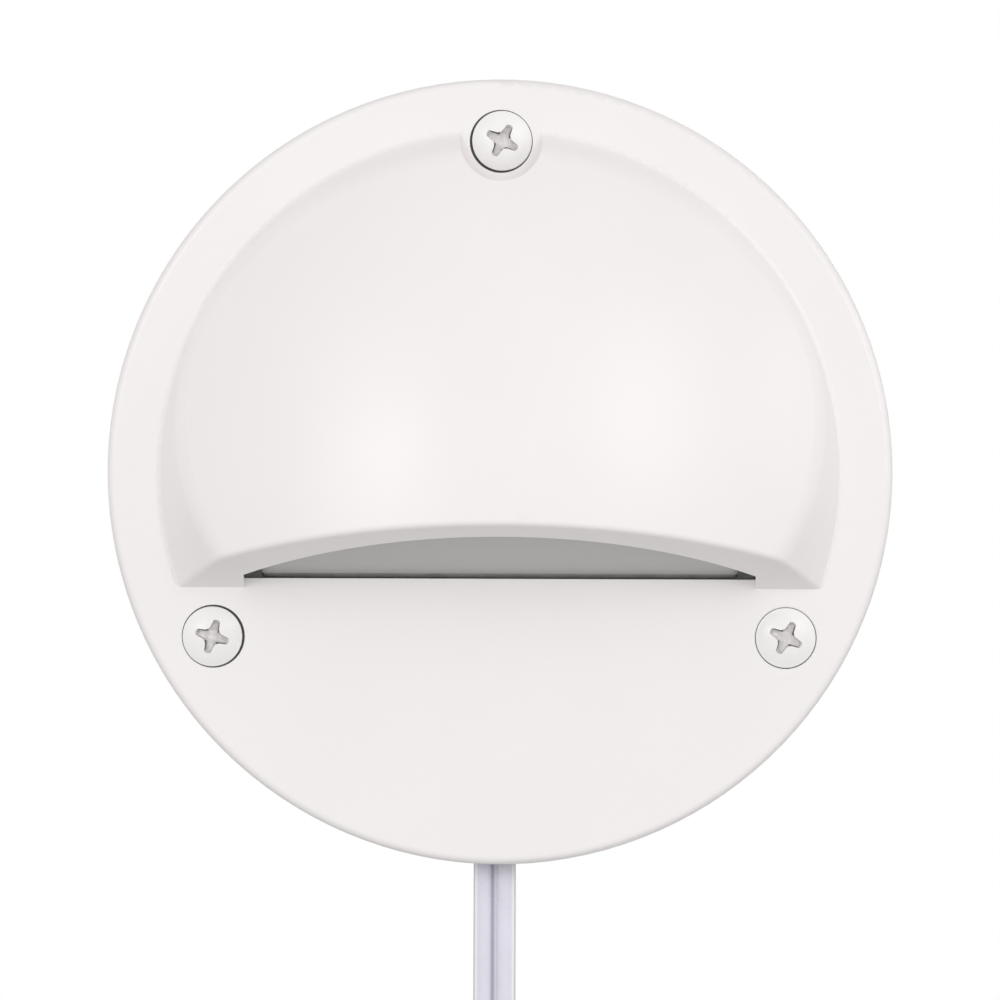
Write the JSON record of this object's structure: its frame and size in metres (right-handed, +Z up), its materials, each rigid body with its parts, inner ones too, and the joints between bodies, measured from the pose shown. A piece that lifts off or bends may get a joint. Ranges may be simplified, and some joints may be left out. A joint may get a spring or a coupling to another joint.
{
  "type": "deck light",
  "caption": "Round surface-mounted deck light: cast cover with a hood over a downward frosted lens, sealed LED tray behind it, mounting screws and a flat lead put away in a tied coil.",
  "frame": {"origin": "middle of the light on the wall plane, which is the rear face of the wall gasket", "axes": "+Z up, +Y into the wall, so the light looks along -Y and +X is on the right of someone facing it"},
  "size_m": [0.0888, 0.0445, 0.2236],
  "materials": {
    "white_coating": "satin white powder coat",
    "white_screw": "white painted steel",
    "frosted_lens": "frosted",
    "black_rubber": "matt",
    "cast_aluminium": "blasted casting",
    "steel_screw": "plain",
    "grey_silicone": "matt",
    "black_foam": "closed-cell foam",
    "sheet_aluminium": "mill finish",
    "white_board": "white solder mask",
    "led_phosphor": "silicone over phosphor",
    "green_board": "solder mask",
    "black_package": "moulded",
    "tan_ceramic": "ceramic",
    "white_wire": "extruded",
    "natural_nylon": "moulded",
    "lead_jacket": "clear extruded jacket",
    "bare_copper": "stranded"
  },
  "bodies": {
    "root": {"cover": "white_coating", "mounting_screws": "white_screw", "lens": "frosted_lens", "lens_gasket": "black_rubber", "back_plate": "cast_aluminium", "back_plate_screws": "steel_screw", "back_seal": "grey_silicone", "wall_gasket": "black_foam", "led_bracket": "sheet_aluminium", "bracket_screws": "steel_screw", "thermal_pad": "grey_silicone", "led_board": "white_board", "led_emitters": "led_phosphor", "led_board_screws": "steel_screw", "driver_board": "green_board", "bridge_rectifier": "black_package", "power_inductor": "black_package", "regulator_chip": "black_package", "board_capacitors": "tan_ceramic", "board_resistors": "black_package", "inner_leads": "lead_jacket", "link_wires": "white_wire", "cord_clamp": "natural_nylon", "clamp_screws": "steel_screw", "cord_grommet": "black_rubber", "lead_drop": "lead_jacket", "lead_twist": "lead_jacket", "lead_coil": "lead_jacket", "coil_tie": "natural_nylon", "lead_ends": "lead_jacket", "wire_tips": "bare_copper"}
  },
  "joints": []
}
